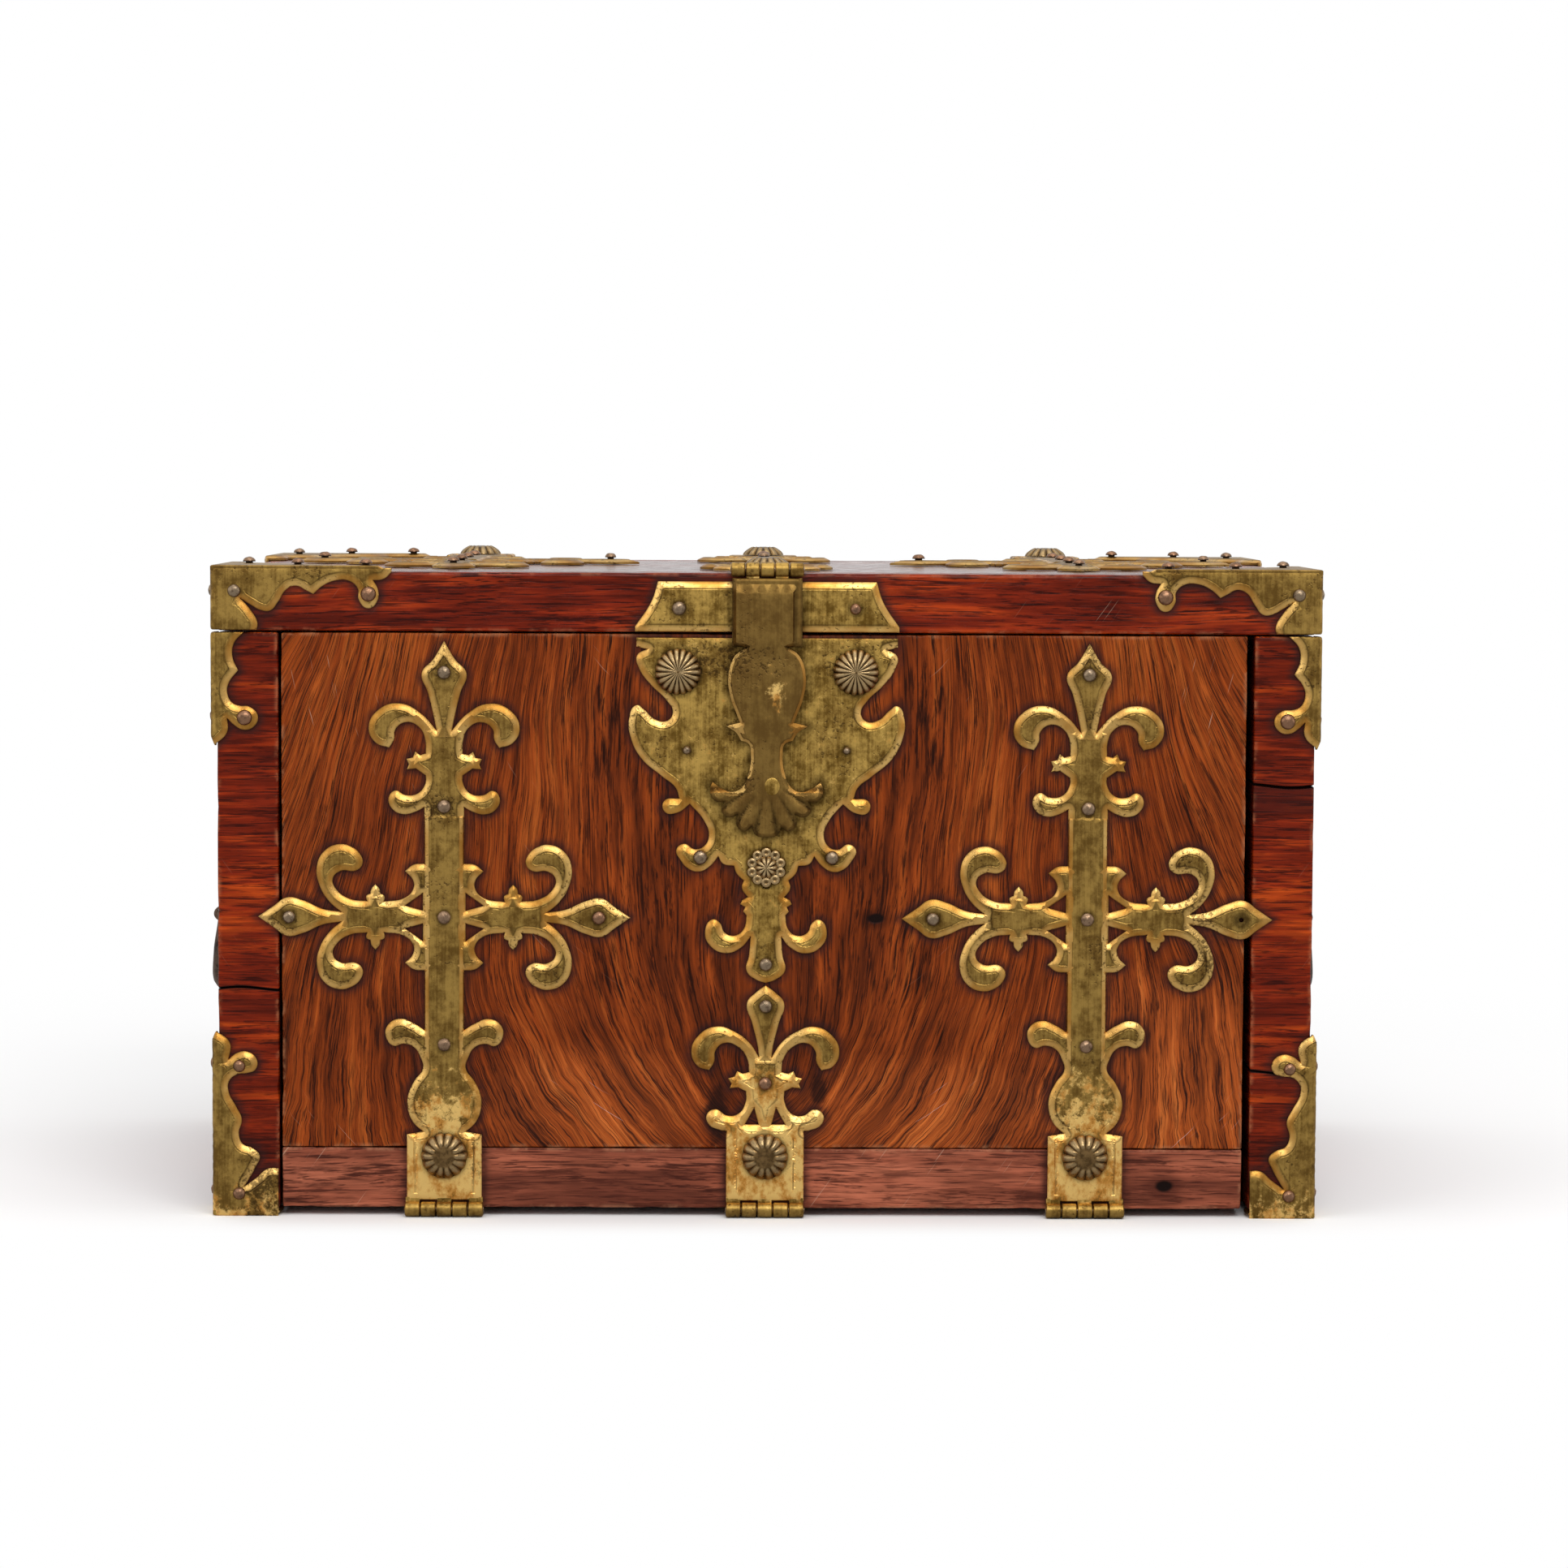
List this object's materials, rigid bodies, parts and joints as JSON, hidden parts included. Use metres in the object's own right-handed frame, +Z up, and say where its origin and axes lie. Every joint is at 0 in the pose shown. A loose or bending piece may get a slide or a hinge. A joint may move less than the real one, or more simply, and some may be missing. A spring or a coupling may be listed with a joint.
{
  "type": "travel trunk",
  "caption": "Brass-mounted rosewood travel trunk with hinged lid, fall front, hasp over a shaped lock plate and drop handles.",
  "frame": {"origin": "middle of the bounding box on the floor", "axes": "+X along the width to the right, +Y from the fall front to the back, +Z up"},
  "size_m": [0.4728, 0.2834, 0.2685],
  "materials": {
    "rosewood": "polished rosewood veneer on solid boards",
    "brass": "old tarnished brass with worn bright edges",
    "iron": "dark forged iron"
  },
  "bodies": {
    "carcass": {"back_board": "rosewood", "back_leaf_centre": "brass", "back_leaf_left": "brass", "back_leaf_right": "brass", "back_pin_centre": "iron", "back_pin_left": "iron", "back_pin_right": "iron", "base_board": "rosewood", "base_leaf_centre": "brass", "base_leaf_left": "brass", "base_leaf_right": "brass", "foot_corner_back_left": "brass", "foot_corner_back_right": "brass", "foot_corner_front_left": "brass", "foot_corner_front_right": "brass", "front_pin_centre": "iron", "front_pin_left": "iron", "front_pin_right": "iron", "handle_plate_left": "iron", "handle_plate_right": "iron", "left_side_board": "rosewood", "right_side_board": "rosewood", "upper_corner_back_left": "brass", "upper_corner_back_right": "brass", "upper_corner_front_left": "brass", "upper_corner_front_right": "brass"},
    "fall_front": {"front_bottom_rail": "rosewood", "front_panel": "rosewood", "front_rosette_centre": "brass", "front_rosette_left": "brass", "front_rosette_right": "brass", "front_strap_centre": "brass", "front_strap_left": "brass", "front_strap_right": "brass", "lock_case": "iron", "lock_plate": "brass"},
    "lid": {"hasp_leaf": "brass", "hasp_pin": "iron", "lid_back_rail": "rosewood", "lid_corner_back_left": "brass", "lid_corner_back_right": "brass", "lid_corner_front_left": "brass", "lid_corner_front_right": "brass", "lid_front_plate": "brass", "lid_front_rail": "rosewood", "lid_left_rail": "rosewood", "lid_right_rail": "rosewood", "lid_rosette_centre": "brass", "lid_rosette_left": "brass", "lid_rosette_right": "brass", "lid_strap_centre": "brass", "lid_strap_left": "brass", "lid_strap_right": "brass", "lid_top_board": "rosewood"},
    "hasp": {"hasp": "brass"},
    "bail_left": {"bail_left": "iron"},
    "bail_right": {"bail_right": "iron"},
    "lock_bolt": {"lock_bolt": "iron"},
    "keyhole_cover": {"keyhole_cover": "brass"}
  },
  "joints": [
    {"name": "lid_hinge", "type": "hinge", "parent": "carcass", "child": "lid", "pos_m": [0, 0.13875, 0.237], "axis": [-1, 0, 0], "range_deg": [0, 100]},
    {"name": "front_hinge", "type": "hinge", "parent": "carcass", "child": "fall_front", "pos_m": [0, -0.13785, 0.0032], "axis": [1, 0, 0], "range_deg": [0, 88]},
    {"name": "hasp_hinge", "type": "hinge", "parent": "lid", "child": "hasp", "pos_m": [0, -0.13845, 0.2629], "axis": [-1, 0, 0], "range_deg": [0, 135]},
    {"name": "left_bail_hinge", "type": "hinge", "parent": "carcass", "child": "bail_left", "pos_m": [-0.231, 0.00045, 0.1136], "axis": [0, 1, 0], "range_deg": [0, 90]},
    {"name": "right_bail_hinge", "type": "hinge", "parent": "carcass", "child": "bail_right", "pos_m": [0.231, 0.00045, 0.1136], "axis": [0, -1, 0], "range_deg": [0, 90]},
    {"name": "bolt_slide", "type": "slide", "parent": "fall_front", "child": "lock_bolt", "axis": [-1, 0, 0], "range_m": [0, 0.01]},
    {"name": "cover_pivot", "type": "hinge", "parent": "fall_front", "child": "keyhole_cover", "pos_m": [0, -0.13735, 0.1494], "axis": [0, -1, 0], "range_deg": [0, 70]}
  ]
}
